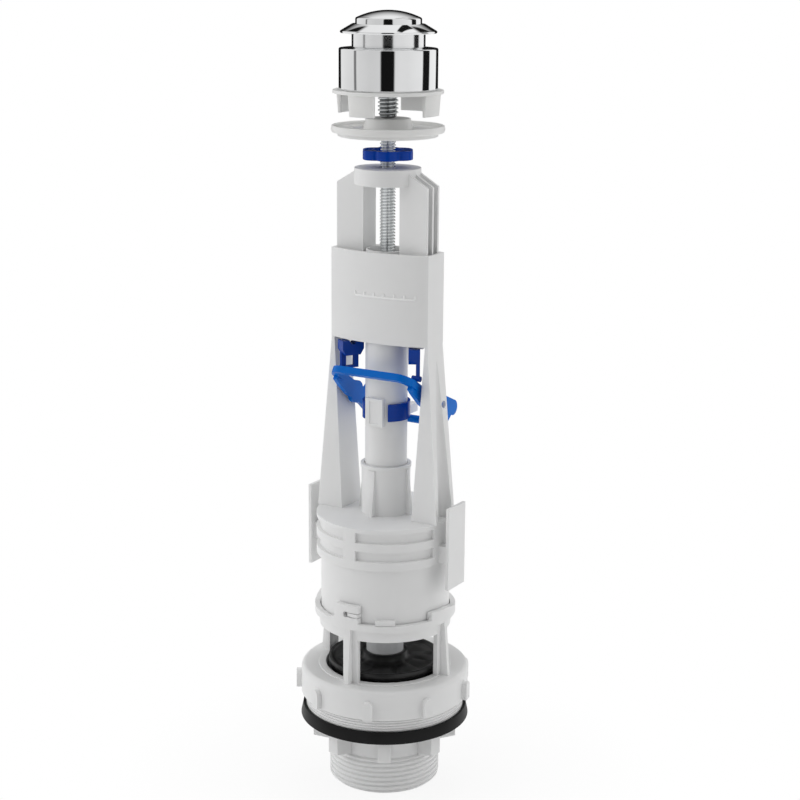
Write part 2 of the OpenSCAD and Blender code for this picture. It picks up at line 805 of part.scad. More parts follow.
module push_link() {
    window_w = link_w * 0.47;
    window_foot = 1.3;
    head_low = z_pillar - head_h;
    translate([link_x, link_y, 0]) rotate([0, 0, link_turn]) rotate([90, 0, 90]) {
        linear_extrude(link_t, center = true) difference() {
            translate([-link_w / 2, z_press]) square([link_w, z_pillar - z_press - head_h / 2]);
            translate([-window_w / 2, z_press + window_foot])
                square([window_w, head_low - z_press - window_foot - 0.2]);
        }
        translate([0, 0, link_t / 2 - head_t]) linear_extrude(head_t) difference() {
            polygon([
                [-head_w / 2, head_low + head_h * 0.4], [-link_w * 0.42, head_low], [link_w * 0.42, head_low],
                [head_w / 2, head_low + head_h * 0.4], [head_w / 2, z_pillar], [-head_w / 2, z_pillar]
            ]);
            translate([0, z_pillar]) circle(r = 2.2);
        }
    }
    translate([arm_in - 1.5, -press_y, z_press])
        rotate([0, 90, 0]) cylinder(r = press_r, h = arm_t + 2.4);
}

module push_link_left() {
    color("navy") mirror([1, 0, 0]) push_link();
}

module push_link_right() {
    color("navy") push_link();
}

// Push rod, lock wheel and press disc

module push_rod() {
    color("silver") translate([0, 0, z_top - rod_drop])
        cylinder(r = rod_r, h = z_boss - 2.5 - z_top + rod_drop);
}

module lock_wheel() {
    lobe_r = wheel_r * 0.47;
    color("mediumblue") translate([0, 0, z_wheel]) difference() {
        linear_extrude(wheel_h) {
            circle(r = wheel_r - lobe_r);
            for (i = [0 : lobe_count - 1])
                rotate([0, 0, 1 + i * 360 / lobe_count])
                    translate([wheel_r - lobe_r, 0]) circle(r = lobe_r);
        }
        translate([0, 0, wheel_h - 1.2]) cylinder(r = wheel_r * 0.6, h = 2);
        translate([0, 0, -eps]) cylinder(r = rod_r + shaft, h = wheel_h + 2 * eps);
    }
}

module press_disc() {
    skirt_out = plate_r - 3.5;
    plate_low = z_plate + plate_skirt;
    color("white") difference() {
        rotate_extrude() polygon([
            [0, plate_low], [skirt_out - 1.8, plate_low], [skirt_out - 1.8, z_plate], [skirt_out, z_plate],
            [skirt_out, plate_low], [plate_r - 0.6, plate_low], [plate_r, z_plate_top],
            [plate_r - 0.4, z_plate_top + plate_rim], [plate_r - 1.6, z_plate_top + plate_rim],
            [plate_r - 2.2, z_plate_top], [boss_r + 1.2, z_plate_top], [boss_r, z_boss], [0, z_boss]
        ]);
        for (a = quarters) rotate([0, 0, a - 24])
            translate([0, 0, plate_low - eps]) rotate_extrude(angle = 48)
                translate([boss_r + 3, 0]) square([plate_r - boss_r - 11, plate_t + 2 * eps]);
        translate([0, 0, plate_low - eps]) cylinder(r = rod_r + fit, h = z_boss - 2.4 - plate_low + eps);
    }
}

// Button, its screw and spring, and the lid fitting

module button_screw() {
    color("silver") translate([0, 0, z_boss + run])
        cylinder(r = screw_r, h = z_cap - cap_wall - 4 - z_boss - run);
}

module button_cap() {
    dome_r = (cap_r * cap_r + dome_h * dome_h) / (2 * dome_h);
    z_top_cap = z_cap + dome_h;
    z_foot = z_cap - cap_skirt;
    z_roof = z_cap - cap_wall;
    z_pocket = z_roof - 4 + fit;
    color("silver") difference() {
        intersection() {
            translate([0, 0, z_top_cap - dome_r]) sphere(r = dome_r, $fn = 180);
            translate([0, 0, z_foot]) cylinder(r = cap_r, h = z_top_cap - z_foot + eps);
        }
        difference() {
            translate([0, 0, z_foot - eps]) cylinder(r = cap_r - cap_wall, h = z_roof - z_foot + eps);
            translate([0, 0, z_foot - 2 * eps]) cylinder(r = screw_r + 2.4, h = cap_skirt + 4 * eps);
        }
        translate([0, 0, z_foot - eps]) cylinder(r = screw_r + fit, h = z_pocket - z_foot + eps);
    }
}

function spring_ring(turn, low, pitch) = [
    for (k = [0 : 7])
        let (a = 360 * turn, r = spring_r + wire_r * cos(k * 45))
            [r * cos(a), r * sin(a), low + pitch * turn + wire_r * sin(k * 45)]
];

module button_spring() {
    steps = 14 * spring_turns;
    low = z_sleeve + 2 + wire_r + fit;
    high = z_cap - cap_wall - wire_r - fit;
    pitch = (high - low) / spring_turns;
    points = [for (i = [0 : steps]) each spring_ring(i / 14, low, pitch)];
    sides = [
        for (i = [0 : steps - 1], k = [0 : 7])
            let (n = (k + 1) % 8)
                each [[8 * i + k, 8 * i + n, 8 * i + 8 + n], [8 * i + k, 8 * i + 8 + n, 8 * i + 8 + k]]
    ];
    start = [[for (k = [7 : -1 : 0]) k]];
    end = [[for (k = [0 : 7]) 8 * steps + k]];
    color("silver") polyhedron(points, concat(sides, start, end), convexity = 8);
}

module bezel() {
    inner = sleeve_in;
    low = z_sleeve;
    step = z_lid + eps;
    color("silver") rotate_extrude() polygon([
        [inner, z_bezel + bezel_h - 0.2], [inner + 0.3, z_bezel + bezel_h], [inner + 1.2, z_bezel + bezel_h],
        [bezel_r, z_bezel + 1], [bezel_r, z_bezel + 0.4], [bezel_r - 0.4, z_bezel], [sleeve_r, z_bezel],
        [sleeve_r, step], [sleeve_r - thread_cut, step], [sleeve_r - thread_cut, low],
        [screw_r + 3.6, low], [screw_r + 3.6, low + 2], [inner, low + 2]
    ]);
}

module collar_nut() {
    hole = sleeve_r - thread_cut + fit;
    recess_r = collar_nut_r - 1.6;
    color("silver") rotate_extrude() polygon([
        [hole, z_collar + 6.6], [hole, z_lid], [collar_nut_r - 0.5, z_lid], [collar_nut_r, z_lid - 0.5],
        [collar_nut_r, z_collar], [recess_r, z_collar], [recess_r, z_collar + 6.6]
    ]);
}

module claw_ring() {
    spigot_r = collar_nut_r - 1.6 - fit;
    claw_out = claw_ring_r - 0.7;
    color("white") {
        rotate_extrude() polygon([
            [spigot_r - 1.8, z_claw_ring], [claw_ring_r, z_claw_ring], [claw_ring_r, z_collar],
            [spigot_r, z_collar], [spigot_r, z_collar + 3.6], [spigot_r - 1.8, z_collar + 3.6]
        ]);
        for (a = quarters) rotate([0, 0, a - claw_angle / 2])
            rotate_extrude(angle = claw_angle) polygon([
                [claw_out - 2.6, z_claw], [claw_out - 0.9, z_claw], [claw_out, z_collar - claw_ring_t / 2],
                [claw_out - 2.6, z_collar - claw_ring_t / 2]
            ]);
    }
}

outlet_seat();
cistern_gasket();
cage();
drum();
upper_frame();
overflow_tube();
inner_tube();
tube_clip();
float();
valve_disc();
flush_seal();
lift_lever();
carriage();
push_link_left();
push_link_right();
push_rod();
lock_wheel();
press_disc();
button_screw();
button_cap();
button_spring();
bezel();
collar_nut();
claw_ring();
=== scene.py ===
# %% [markdown]
# A flush valve for a toilet cistern, dressed for a close look.
# The solids come in as a fixed frame, each at its real size and place. This script gives them the
# finish of moulded plastic, rubber, chrome and zinc, and makes what a mould or a die adds last:
# threads, soft edges, pleats in the rubber and the raised level mark.

# %% Load the frame
import json
import math

import bmesh
import bpy
from mathutils import Matrix, Vector


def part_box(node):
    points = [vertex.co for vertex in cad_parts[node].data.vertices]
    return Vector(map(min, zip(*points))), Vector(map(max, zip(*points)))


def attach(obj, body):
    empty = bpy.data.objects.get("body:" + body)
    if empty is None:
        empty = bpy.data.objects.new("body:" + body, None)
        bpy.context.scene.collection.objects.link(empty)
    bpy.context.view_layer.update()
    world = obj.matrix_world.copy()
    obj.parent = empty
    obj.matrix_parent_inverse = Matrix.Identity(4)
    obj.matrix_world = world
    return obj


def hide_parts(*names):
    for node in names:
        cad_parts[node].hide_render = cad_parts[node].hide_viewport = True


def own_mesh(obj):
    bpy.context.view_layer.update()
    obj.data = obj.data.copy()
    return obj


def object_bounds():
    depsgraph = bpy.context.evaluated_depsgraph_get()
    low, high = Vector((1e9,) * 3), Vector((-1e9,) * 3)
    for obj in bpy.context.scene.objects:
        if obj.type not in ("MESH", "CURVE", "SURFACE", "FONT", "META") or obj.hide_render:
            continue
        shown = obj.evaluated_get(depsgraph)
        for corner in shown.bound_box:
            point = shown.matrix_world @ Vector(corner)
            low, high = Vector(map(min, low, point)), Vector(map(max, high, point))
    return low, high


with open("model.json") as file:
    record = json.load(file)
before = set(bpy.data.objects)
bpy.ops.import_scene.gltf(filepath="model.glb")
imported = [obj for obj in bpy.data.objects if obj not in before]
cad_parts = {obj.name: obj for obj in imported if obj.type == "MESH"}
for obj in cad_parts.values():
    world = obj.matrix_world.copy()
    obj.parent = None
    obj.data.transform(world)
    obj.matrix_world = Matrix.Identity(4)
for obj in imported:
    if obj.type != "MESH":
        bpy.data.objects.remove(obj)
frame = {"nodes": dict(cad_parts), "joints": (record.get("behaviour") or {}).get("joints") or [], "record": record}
cad_low, cad_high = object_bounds()
MM = 0.001
body_of_node = {n: b for b, names in frame["record"]["behaviour"]["bodies"].items() for n in names}
slot_of_node = {p["node"]: p["material_slot"] for p in frame["record"]["subparts"]}
print("frame of", len(frame["nodes"]), "pieces,", round(cad_high.z / MM, 1), "mm tall")

# %% [markdown]
# The valve was shot from a little above, turned so that one leg comes forward. A long lens keeps the
# tall shape straight, and a slight roll leans it to the right as in the picture. The yaw moves the
# axis a few pixels to the side of the middle, which a turn of the camera does without any shift.

# %% Camera
view_azimuth = 31.0
view_pitch = 14.0
view_roll = 0.45
view_distance = 916 * MM
view_height = 439.2 * MM
lens, sensor, picture_width = 81, 36, 800
axis_offset = 14
view_yaw = math.degrees(math.atan(axis_offset / (lens / sensor * picture_width)))

camera_data = bpy.data.cameras.new("camera")
camera_data.sensor_width = sensor
camera_data.lens = lens
camera = bpy.data.objects.new("camera", camera_data)
bpy.context.scene.collection.objects.link(camera)
azimuth = math.radians(view_azimuth)
turn = (Matrix.Rotation(azimuth - math.radians(view_yaw), 4, "Z")
        @ Matrix.Rotation(math.radians(90 - view_pitch), 4, "X")
        @ Matrix.Rotation(math.radians(view_roll), 4, "Z"))
place = Vector((view_distance * math.sin(azimuth), -view_distance * math.cos(azimuth), view_height))
camera.matrix_world = Matrix.Translation(place) @ turn
bpy.context.scene.camera = camera
bpy.context.scene.view_settings.view_transform = "Standard"
print("camera at", [round(v / MM) for v in place], "mm")

# %% [markdown]
# Node trees are easier to read as sums. A Wire holds a socket, and adding or multiplying two Wires
# adds the Math node that does it. The sign | gives the larger of two masks, so it reads as "or". Any
# other node comes from add_node.

# %% Sums on sockets
class Wire:
    """A socket of a node tree that can stand in a sum."""

    def __init__(self, tree, socket):
        self.tree = tree
        self.socket = socket

    def math(self, operation, *others):
        numbered = dict(enumerate((self, *others)))
        return add_node(self.tree, "ShaderNodeMath", {"operation": operation}, numbered)

    def __add__(self, other):
        return self.math("ADD", other)

    def __sub__(self, other):
        return self.math("SUBTRACT", other)

    def __mul__(self, other):
        return self.math("MULTIPLY", other)

    def __truediv__(self, other):
        return self.math("DIVIDE", other)

    def __or__(self, other):
        return self.math("MAXIMUM", other)

    def __rsub__(self, other):
        return add_node(self.tree, "ShaderNodeMath", {"operation": "SUBTRACT"}, {0: other, 1: self})

    __radd__ = __add__
    __rmul__ = __mul__

    def clamp(self):
        return self.math("MAXIMUM", 0).math("MINIMUM", 1)


def add_node(tree, kind, settings=None, inputs=None, out=0):
    """Adds a node, sets its settings, fills or links its inputs, and returns one of its outputs."""
    node = tree.nodes.new(kind)
    for name, value in (settings or {}).items():
        setattr(node, name, value)
    for key, value in (inputs or {}).items():
        if isinstance(value, Wire):
            tree.links.new(value.socket, node.inputs[key])
        else:
            node.inputs[key].default_value = value
    return Wire(tree, node.outputs[out]) if node.outputs else None


def split(tree, vector):
    """The three parts of a vector."""
    outputs = add_node(tree, "ShaderNodeSeparateXYZ", inputs={0: vector}).socket.node.outputs
    return [Wire(tree, part) for part in outputs]


def combine(tree, *parts):
    """A vector of three parts."""
    return add_node(tree, "ShaderNodeCombineXYZ", inputs=dict(enumerate(parts)))


def length(tree, vector):
    return add_node(tree, "ShaderNodeVectorMath", {"operation": "LENGTH"}, {0: vector}, out="Value")


def ramp(tree, factor, stops):
    """A colour ramp with stops of (place, colour)."""
    wire = add_node(tree, "ShaderNodeValToRGB", inputs={"Fac": factor})
    elements = wire.socket.node.color_ramp.elements
    while len(elements) < len(stops):
        elements.new(0.5)
    for element, (position, colour) in zip(elements, stops):
        element.position = position
        element.color = (*colour, 1)
    return wire


print("sums on sockets know + - * / and |")

# %% [markdown]
# The valve stands on a round white sheet in a white room. The room's light is drawn in the world:
# broad bright panels left, right and above, and dark gaps between them. The dark gaps are what the
# chrome shows as upright stripes. Matt surfaces get a plain fill that is weaker from the front, which
# keeps the front of the white plastic a soft grey, and three lamps shape the sides and the back.

# %% Studio
LAMP_DISTANCE = 1.3


def ray_mask(tree, *kinds):
    """1 for light rays of any of these kinds, and 0 for the rest."""
    outputs = add_node(tree, "ShaderNodeLightPath").socket.node.outputs
    mask = Wire(tree, outputs[kinds[0]])
    for kind in kinds[1:]:
        mask = mask | Wire(tree, outputs[kind])
    return mask


def studio_world():
    """The room. Bearing 0 is towards the camera and 90 to its right, and up runs from -1 to 1."""
    world = bpy.data.worlds.new("studio")
    world.use_nodes = True
    tree = world.node_tree
    tree.nodes.clear()
    east, north, up = split(tree, add_node(tree, "ShaderNodeTexCoord", out="Generated"))
    side_x, side_y = math.cos(azimuth), math.sin(azimuth)
    across = east * side_x + north * side_y
    ahead = east * side_y - north * side_x
    bearing = across.math("ARCTAN2", ahead) * (180 / math.pi)
    off_front = bearing.math("ABSOLUTE")

    def gap(centre, half_width, soft):
        """1 inside a band of bearings, 0 outside it."""
        away = (bearing - centre).math("ABSOLUTE")
        return (1 - (away - half_width) / soft).clamp()

    def above(height, soft):
        return ((up - height) / soft).clamp()

    near = gap(-2, 14, 4) | gap(98, 10, 3) | gap(-83, 2, 3) * 0.75
    flanks = (gap(151, 7, 3) | gap(-151, 7, 3)) * (1 - above(0.70, 0.06))
    horizon = ((off_front - 146) / 5).clamp() * above(-0.36, 0.04) * (1 - above(0.34, 0.38))
    slit = gap(160, 4, 1) * above(0.72, 0.02) * (1 - above(0.90, 0.02))
    dark = (near | flanks | horizon) * (1 - above(0.80, 0.08)) | slit
    left_share = (0.5 - across).clamp()
    panels = 0.80 - left_share * 0.12 + (off_front / 90 - 0.5).clamp() * 0.2
    mirror_room = panels * (1 - dark * 0.99)

    to_left, to_right, to_back = (0 - across) | 0, across | 0, (0 - ahead) | 0
    sides = to_left * to_left * 0.62 + to_right * to_right * 0.50
    room_fill = 0.22 + sides + to_back * 0.48 + (up | 0) * 0.26

    seen = ray_mask(tree, "Is Camera Ray", "Is Transmission Ray")
    glossy = ray_mask(tree, "Is Glossy Ray")
    strength = seen + (1 - seen) * (glossy * mirror_room + (1 - glossy) * room_fill)
    white = (1, 1, 1, 1)
    background = add_node(tree, "ShaderNodeBackground", inputs={"Color": white, "Strength": strength})
    add_node(tree, "ShaderNodeOutputWorld", inputs={0: background})
    bpy.context.scene.world = world


def soft_box(name, bearing, elevation, width, power):
    """A square lamp that looks at the middle of the valve. Bearing 0 is behind the camera."""
    lamp = bpy.data.lights.new(name, "AREA")
    lamp.size = width
    lamp.energy = power
    piece = bpy.data.objects.new(name, lamp)
    bpy.context.scene.collection.objects.link(piece)
    turn_z, rise = azimuth + math.radians(bearing), math.radians(elevation)
    flat = math.cos(rise)
    back = Vector((math.sin(turn_z) * flat, -math.cos(turn_z) * flat, math.sin(rise)))
    spot = (cad_low + cad_high) / 2 + back * LAMP_DISTANCE
    piece.matrix_world = Matrix.Translation(spot) @ back.to_track_quat("Z", "Y").to_matrix().to_4x4()
    piece.visible_glossy = False


def white_floor():
    """A round white sheet that glows to the camera, and keeps a faint shadow near the valve."""
    radius, below, shadow_reach, shadow_share = 1.2, 0.2 * MM, 0.15, 0.16
    mesh = bpy.data.meshes.new("floor")
    work = bmesh.new()
    bmesh.ops.create_circle(work, cap_ends=True, radius=radius, segments=96)
    work.to_mesh(mesh)
    work.free()
    piece = bpy.data.objects.new("floor", mesh)
    bpy.context.scene.collection.objects.link(piece)
    piece.location.z = cad_low.z - below
    material = bpy.data.materials.new("white_sheet")
    material.use_nodes = True
    tree = material.node_tree
    tree.nodes.clear()
    seen = ray_mask(tree, "Is Camera Ray", "Is Glossy Ray")
    away = length(tree, add_node(tree, "ShaderNodeTexCoord", out="Object"))
    shadow = (1 - away / shadow_reach).clamp() * shadow_share
    paper = add_node(tree, "ShaderNodeBsdfDiffuse", inputs={"Color": (0.9, 0.9, 0.9, 1)})
    glow = add_node(tree, "ShaderNodeEmission", inputs={"Color": (1, 1, 1, 1), "Strength": 1.0})
    mixed = add_node(tree, "ShaderNodeMixShader", inputs={0: seen * (1 - shadow), 1: paper, 2: glow})
    add_node(tree, "ShaderNodeOutputMaterial", inputs={0: mixed})
    mesh.materials.append(material)


studio_world()
soft_box("left_panel", bearing=-80, elevation=26, width=1.0, power=4.0)
soft_box("right_panel", bearing=78, elevation=20, width=1.0, power=2.4)
soft_box("back_panel", bearing=172, elevation=50, width=0.8, power=2.6)
white_floor()
print(len(bpy.data.lights), "lamps,", len(bpy.context.scene.world.node_tree.nodes), "nodes in the room")

# %% [markdown]
# Each finish is its own material. Moulded plastic has a fine eroded grain and faint clouds in its
# colour where it cooled unevenly. The grain is bump and changes the gloss a little, because a mould
# is never polished evenly. All patterns read Object coordinates, so they stay put on their piece.

# %% Finishes
CLOUDS, HAZE = 38, 45
materials = {}


def begin(name):
    material = bpy.data.materials.new(name)
    material.use_nodes = True
    tree = material.node_tree
    tree.nodes.clear()
    materials[name] = material
    return tree


def on_piece(tree):
    return add_node(tree, "ShaderNodeTexCoord", out="Object")


def noise(tree, scale, detail=3.0, stretch=None):
    where = on_piece(tree)
    if stretch:
        where = add_node(tree, "ShaderNodeMapping", inputs={0: where, "Scale": stretch})
    inputs = {"Vector": where, "Scale": scale, "Detail": detail, "Roughness": 0.55}
    return add_node(tree, "ShaderNodeTexNoise", inputs=inputs)


def drawn_lines(tree):
    """Fine lines round the axis, as polishing leaves them on metal."""
    return noise(tree, 160, detail=4, stretch=(1, 1, 14))


def bump(tree, height, strength, depth):
    """A bump of a depth in mm."""
    inputs = {"Height": height, "Strength": strength, "Distance": depth * MM}
    return add_node(tree, "ShaderNodeBump", inputs=inputs, out="Normal")


def close(tree, **inputs):
    inputs = {key.replace("_", " "): value for key, value in inputs.items()}
    shader = add_node(tree, "ShaderNodeBsdfPrincipled", inputs=inputs)
    add_node(tree, "ShaderNodeOutputMaterial", inputs={0: shader})


def moulded_plastic(name, pale, deep, rough, specular=0.5, milky=0.0):
    """Plastic between two tones. Milky is the share of light that wanders below the surface."""
    tree = begin(name)
    clouds = noise(tree, CLOUDS)
    pores = noise(tree, 1500, detail=2)
    colour = ramp(tree, clouds, [(0.3, deep), (0.7, pale)])
    close(tree, Base_Color=colour, Roughness=rough - 0.05 + clouds * 0.06 + pores * 0.05,
          Specular_IOR_Level=specular, Subsurface_Weight=milky, Subsurface_Scale=2.5 * MM,
          Subsurface_Radius=(1.0, 1.0, 1.0), Normal=bump(tree, pores + clouds * 2, 0.25, 0.04))


def rubber(name, deep, bloomed, rough, specular):
    """Black rubber with a pale bloom in patches."""
    tree = begin(name)
    bloom = noise(tree, 60, detail=4)
    pores = noise(tree, 900, detail=2)
    colour = ramp(tree, bloom, [(0.35, deep), (0.75, bloomed)])
    close(tree, Base_Color=colour, Roughness=rough + bloom * 0.2, Specular_IOR_Level=specular,
          Normal=bump(tree, pores + bloom, 0.3, 0.05))


def plated_metal(name, tone, rough, streak, depth):
    """Metal with drawn lines of a depth in mm, a little hazy in patches."""
    tree = begin(name)
    lines = drawn_lines(tree)
    haze = noise(tree, HAZE)
    colour = ramp(tree, haze, [(0.3, [c * 0.94 for c in tone]), (0.7, tone)])
    close(tree, Base_Color=colour, Metallic=1.0, Normal=bump(tree, lines, 0.15, depth),
          Roughness=rough + lines * streak + haze * streak * 0.5)


moulded_plastic("white_plastic", (0.84, 0.842, 0.84), (0.81, 0.812, 0.81), 0.42, milky=0.2)
moulded_plastic("natural_nylon", (0.82, 0.82, 0.81), (0.79, 0.79, 0.78), 0.40, milky=0.8)
moulded_plastic("grey_plastic", (0.64, 0.65, 0.66), (0.60, 0.61, 0.62), 0.45)
moulded_plastic("lever_blue", (0.001, 0.165, 0.66), (0.001, 0.135, 0.56), 0.20, specular=0.10)
moulded_plastic("wheel_blue", (0.002, 0.057, 0.42), (0.001, 0.044, 0.34), 0.20, specular=0.16)
moulded_plastic("link_blue", (0.002, 0.052, 0.37), (0.001, 0.040, 0.30), 0.22, specular=0.16)
# The level mark is paler than the wall as a painted highlight on the raised line; its lower roughness is real
# gloss.
moulded_plastic("polished_mark", (0.93, 0.93, 0.93), (0.91, 0.91, 0.91), 0.30)
rubber("black_rubber", (0.003, 0.003, 0.003), (0.009, 0.009, 0.0095), 0.36, specular=0.18)
rubber("disc_rubber", (0.007, 0.007, 0.007), (0.015, 0.015, 0.0155), 0.26, specular=0.42)
plated_metal("chrome", (0.86, 0.865, 0.87), 0.035, streak=0.015, depth=0.001)
plated_metal("spring_steel", (0.55, 0.55, 0.56), 0.22, streak=0.1, depth=0.004)
print(len(materials), "finishes:", ", ".join(materials))

# %% [markdown]
# A solid from a drawing has knife edges, and no moulding has. Each moulded piece starts as a copy of
# its solid: the loose triangles are merged, flat faces are joined, and every sharp edge gets a small
# round. Where short edges meet, the round is narrowed for the whole piece, so that no faces cross.
# Weighted normals keep the flats flat beside it.

# %% Moulded pieces
def finish_piece(piece, node, material):
    """Rides, and hides the solid that this piece stands for."""
    piece.data.materials.clear()
    piece.data.materials.append(materials[material])
    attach(piece, body_of_node[node])
    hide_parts(node)
    print(piece.name, "in", material, "has", len(piece.data.polygons), "faces")
    return piece


def new_piece(name, mesh):
    piece = bpy.data.objects.new(name, mesh)
    bpy.context.scene.collection.objects.link(piece)
    return piece


def applied(piece):
    """Turns a piece and its modifiers into one plain mesh."""
    depsgraph = bpy.context.evaluated_depsgraph_get()
    mesh = bpy.data.meshes.new_from_object(piece.evaluated_get(depsgraph))
    piece.modifiers.clear()
    piece.data = mesh
    return piece


def drop_slivers(mesh):
    """Merges corners that rounding left on one spot, and drops loose scraps that have no width."""
    same_spot, fewest_faces = 0.0001 * MM, 8
    work = bmesh.new()
    work.from_mesh(mesh)
    bmesh.ops.remove_doubles(work, verts=work.verts, dist=same_spot)
    bmesh.ops.dissolve_degenerate(work, edges=work.edges, dist=same_spot)
    waiting = set(work.faces)
    scraps = []
    while waiting:
        island, shore = set(), [waiting.pop()]
        while shore:
            face = shore.pop()
            island.add(face)
            beside = {other for edge in face.edges for other in edge.link_faces} & waiting
            waiting -= beside
            shore.extend(beside)
        if len(island) < fewest_faces:
            scraps.extend(island)
    bmesh.ops.delete(work, geom=scraps, context="FACES")
    work.to_mesh(mesh)
    work.free()


def soften(piece, edge):
    """Rounds the sharp edges of a piece by edge, in mm."""
    sharp = 34
    rounding = piece.modifiers.new("round", "BEVEL")
    rounding.width = edge * MM
    rounding.segments = 2
    rounding.limit_method = "ANGLE"
    rounding.angle_limit = math.radians(sharp)
    rounding.use_clamp_overlap = True
    drop_slivers(applied(piece).data)
    weights = piece.modifiers.new("weights", "WEIGHTED_NORMAL")
    weights.keep_sharp = True
    return applied(piece)


def clean_copy(node):
    """The node's mesh with its triangles merged and its flat faces joined."""
    one_spot, flat = 0.01 * MM, math.radians(0.6)
    mesh = frame["nodes"][node].data.copy()
    work = bmesh.new()
    work.from_mesh(mesh)
    bmesh.ops.remove_doubles(work, verts=work.verts, dist=one_spot)
    bmesh.ops.dissolve_limit(work, angle_limit=flat, verts=work.verts, edges=work.edges)
    for face in work.faces:
        face.smooth = True
    work.to_mesh(mesh)
    work.free()
    return mesh


edge_of_piece = {"cage": 0.35, "drum": 0.3, "upper_frame": 0.35, "carriage": 0.3, "push_link_left": 0.25,
                 "push_link_right": 0.25, "lift_lever": 0.5, "press_disc": 0.3, "claw_ring": 0.25,
                 "overflow_tube": 0.25, "tube_clip": 0.25, "lock_wheel": 0.6, "inner_tube": 0.2,
                 "float": 0.3, "flush_seal": 0.4}
nylon_pieces = ("press_disc", "claw_ring")
for node, edge in edge_of_piece.items():
    moulded = soften(new_piece(node + "_moulded", clean_copy(node)), edge)
    finish_piece(moulded, node, "natural_nylon" if node in nylon_pieces else slot_of_node[node])

# %% [markdown]
# Turned and moulded rings are easiest to draw as half a section that is spun about the axis. The
# corners of the section are rounded first, so the spun ring has its soft edges from the start.

# %% Spun rings
AROUND = 192


def rounded(section, radius):
    """A closed section with each corner replaced by a short arc. Lengths are in mm."""
    steps, longest_share, shortest, nearly_straight = 3, 0.45, 0.01, math.radians(172)
    outline = []
    for i, corner in enumerate(section):
        corner = Vector(corner)
        before = Vector(section[i - 1]) - corner
        after = Vector(section[(i + 1) % len(section)]) - corner
        bend = before.angle(after)
        cut = min(radius / math.tan(bend / 2), before.length * longest_share, after.length * longest_share)
        if cut < shortest or bend > nearly_straight:
            outline.append(corner)
            continue
        start, end = corner + before.normalized() * cut, corner + after.normalized() * cut
        for k in range(steps + 1):
            t = k / steps
            outline.append(start * (1 - t) ** 2 + corner * (2 * t * (1 - t)) + end * t ** 2)
    return outline


def spin(name, section, around=AROUND, closed=True):
    """A mesh of a section of (radius, height) points turned about the axis."""
    work = bmesh.new()
    rings = []
    for r, z in section:
        if r < 1e-6:
            rings.append([work.verts.new((0, 0, z * MM))])
            continue
        turns = (Matrix.Rotation(2 * math.pi * k / around, 3, "Z") for k in range(around))
        rings.append([work.verts.new(one @ Vector((r * MM, 0, z * MM))) for one in turns])
    for i in range(len(rings) if closed else len(rings) - 1):
        low, high = rings[i], rings[(i + 1) % len(rings)]
        if len(low) == 1 and len(high) == 1:
            continue
        for k in range(around):
            n = (k + 1) % around
            corners = (low[k % len(low)], low[n % len(low)], high[n % len(high)], high[k % len(high)])
            unique = list(dict.fromkeys(corners))
            if len(unique) > 2:
                work.faces.new(unique).smooth = True
    bmesh.ops.recalc_face_normals(work, faces=work.faces)
    mesh = bpy.data.meshes.new(name)
    work.to_mesh(mesh)
    work.free()
    return mesh


def spun_piece(name, section, corner_radius):
    return new_piece(name, spin(name, rounded(section, corner_radius)))


def level(node, end):
    """The height of a node's foot (end 0) or top (end 1), in mm."""
    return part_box(node)[end].z / MM


def reach(node):
    """How far a node goes out from the axis, in mm."""
    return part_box(node)[1].x / MM


print("rings are spun in", AROUND, "steps")

# %% [markdown]
# The lid fitting is bright chrome: a domed cap in a sloping bezel, a plain sleeve and a collar nut.
# Mirrors show every facet, so these rings are spun fine and their corners are round. The sleeve is
# left satin, so the bezel's plating turns rougher just below the flange.

# %% Lid fitting
bezel_top, bezel_low = level("bezel", 1), level("bezel", 0)
bezel_seat = bezel_top - 4.6
cap_radius = reach("button_cap")


def chrome_bezel():
    lip = cap_radius + 0.35
    sleeve = lip + 1.45
    flange = reach("bezel")
    skirt = sleeve - 0.45
    step = level("collar_nut", 1) + 0.5
    floor, floor_hole = bezel_low + 2, 8.75
    section = [(lip, floor), (floor_hole, floor), (floor_hole, bezel_low), (skirt, bezel_low),
               (skirt, step), (sleeve, step), (sleeve, bezel_seat), (flange - 0.4, bezel_seat),
               (flange, bezel_seat + 0.5), (flange - 0.2, bezel_seat + 1.1), (lip + 1.2, bezel_top),
               (lip, bezel_top - 0.1)]
    return spun_piece("bezel_chrome", section, 0.35)


def chrome_collar():
    top, low, outer = level("collar_nut", 1), level("collar_nut", 0), reach("collar_nut")
    bore, inner, ledge = cap_radius + 1.45, outer - 1.6, low + 6.6
    section = [(bore, ledge), (bore, top), (outer - 0.3, top), (outer, top - 0.5), (outer, low),
               (inner, low), (inner, ledge)]
    return spun_piece("collar_nut_chrome", section, 0.5)


def chrome_cap():
    top, low, outer = level("button_cap", 1), level("button_cap", 0), cap_radius
    dome, rim, wall, steps = 3.9, 0.45, 1.5, 20
    sphere = (outer * outer + dome * dome) / (2 * dome)
    edge = top - dome
    roof, hole_end = edge - wall, edge - 5.4
    stem, screw_hole = 7.55, 5.25
    span = math.asin((outer - rim) / sphere)
    angles = [span * k / steps for k in range(steps + 1)]
    crown = [(sphere * math.sin(a), top - sphere + sphere * math.cos(a)) for a in angles]
    shoulder = [(outer - 0.12, edge - 0.1), (outer, edge - 0.5)]
    hollow = [(outer, low), (outer - wall, low), (outer - wall, roof), (stem, roof), (stem, low),
              (screw_hole, low), (screw_hole, hole_end), (0, hole_end)]
    name = "button_cap_chrome"
    return new_piece(name, spin(name, crown + shoulder + hollow, closed=False))


